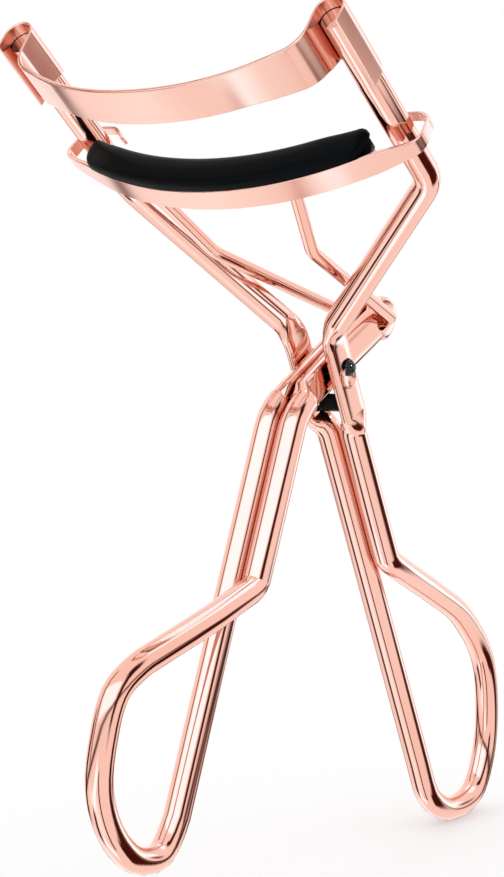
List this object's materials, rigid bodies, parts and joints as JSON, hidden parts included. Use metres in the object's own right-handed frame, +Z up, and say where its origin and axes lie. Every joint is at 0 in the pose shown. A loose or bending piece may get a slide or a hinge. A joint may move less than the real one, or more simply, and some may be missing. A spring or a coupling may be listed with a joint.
{
  "type": "eyelash curler",
  "caption": "Scissor-type eyelash curler of round wire with two finger loops, a fixed curved upper jaw and a sliding lower jaw carrying a rubber pad.",
  "frame": {"origin": "middle of the footprint in X and Y at the lowest point of the finger loops, held upright with the jaws up", "axes": "+X across the jaws, +Y from the lever handle to the frame handle, +Z up from the finger loops to the jaws"},
  "size_m": [0.0488, 0.0846, 0.1022],
  "materials": {
    "rose_gold_wire": "polished rose-gold plating on steel wire",
    "rose_gold_strip": "polished rose-gold plating on steel strip",
    "black_rubber": "satin black rubber",
    "dark_rivet": "polished dark steel"
  },
  "bodies": {
    "frame": {"frame_wire": "rose_gold_wire", "upper_jaw": "rose_gold_strip", "pivot_pin": "dark_rivet", "stop_bumper": "black_rubber"},
    "lever": {"lever_wire": "rose_gold_wire"},
    "lower_jaw_carrier": {"lower_jaw": "rose_gold_strip", "lash_pad": "black_rubber", "link_wire": "rose_gold_wire"}
  },
  "joints": [
    {"name": "lever_pivot", "type": "hinge", "parent": "frame", "child": "lever", "pos_m": [0, 0.00035, 0.06214], "axis": [1, 0, 0], "range_deg": [0, 43.7]},
    {"name": "jaw_slide", "type": "slide", "parent": "frame", "child": "lower_jaw_carrier", "axis": [0, -0.7508, 0.6605], "range_m": [0, 0.009]}
  ],
  "couplings": [
    {"joint": "jaw_slide", "follows": "lever_pivot", "m_per_rad": 0.01173}
  ]
}
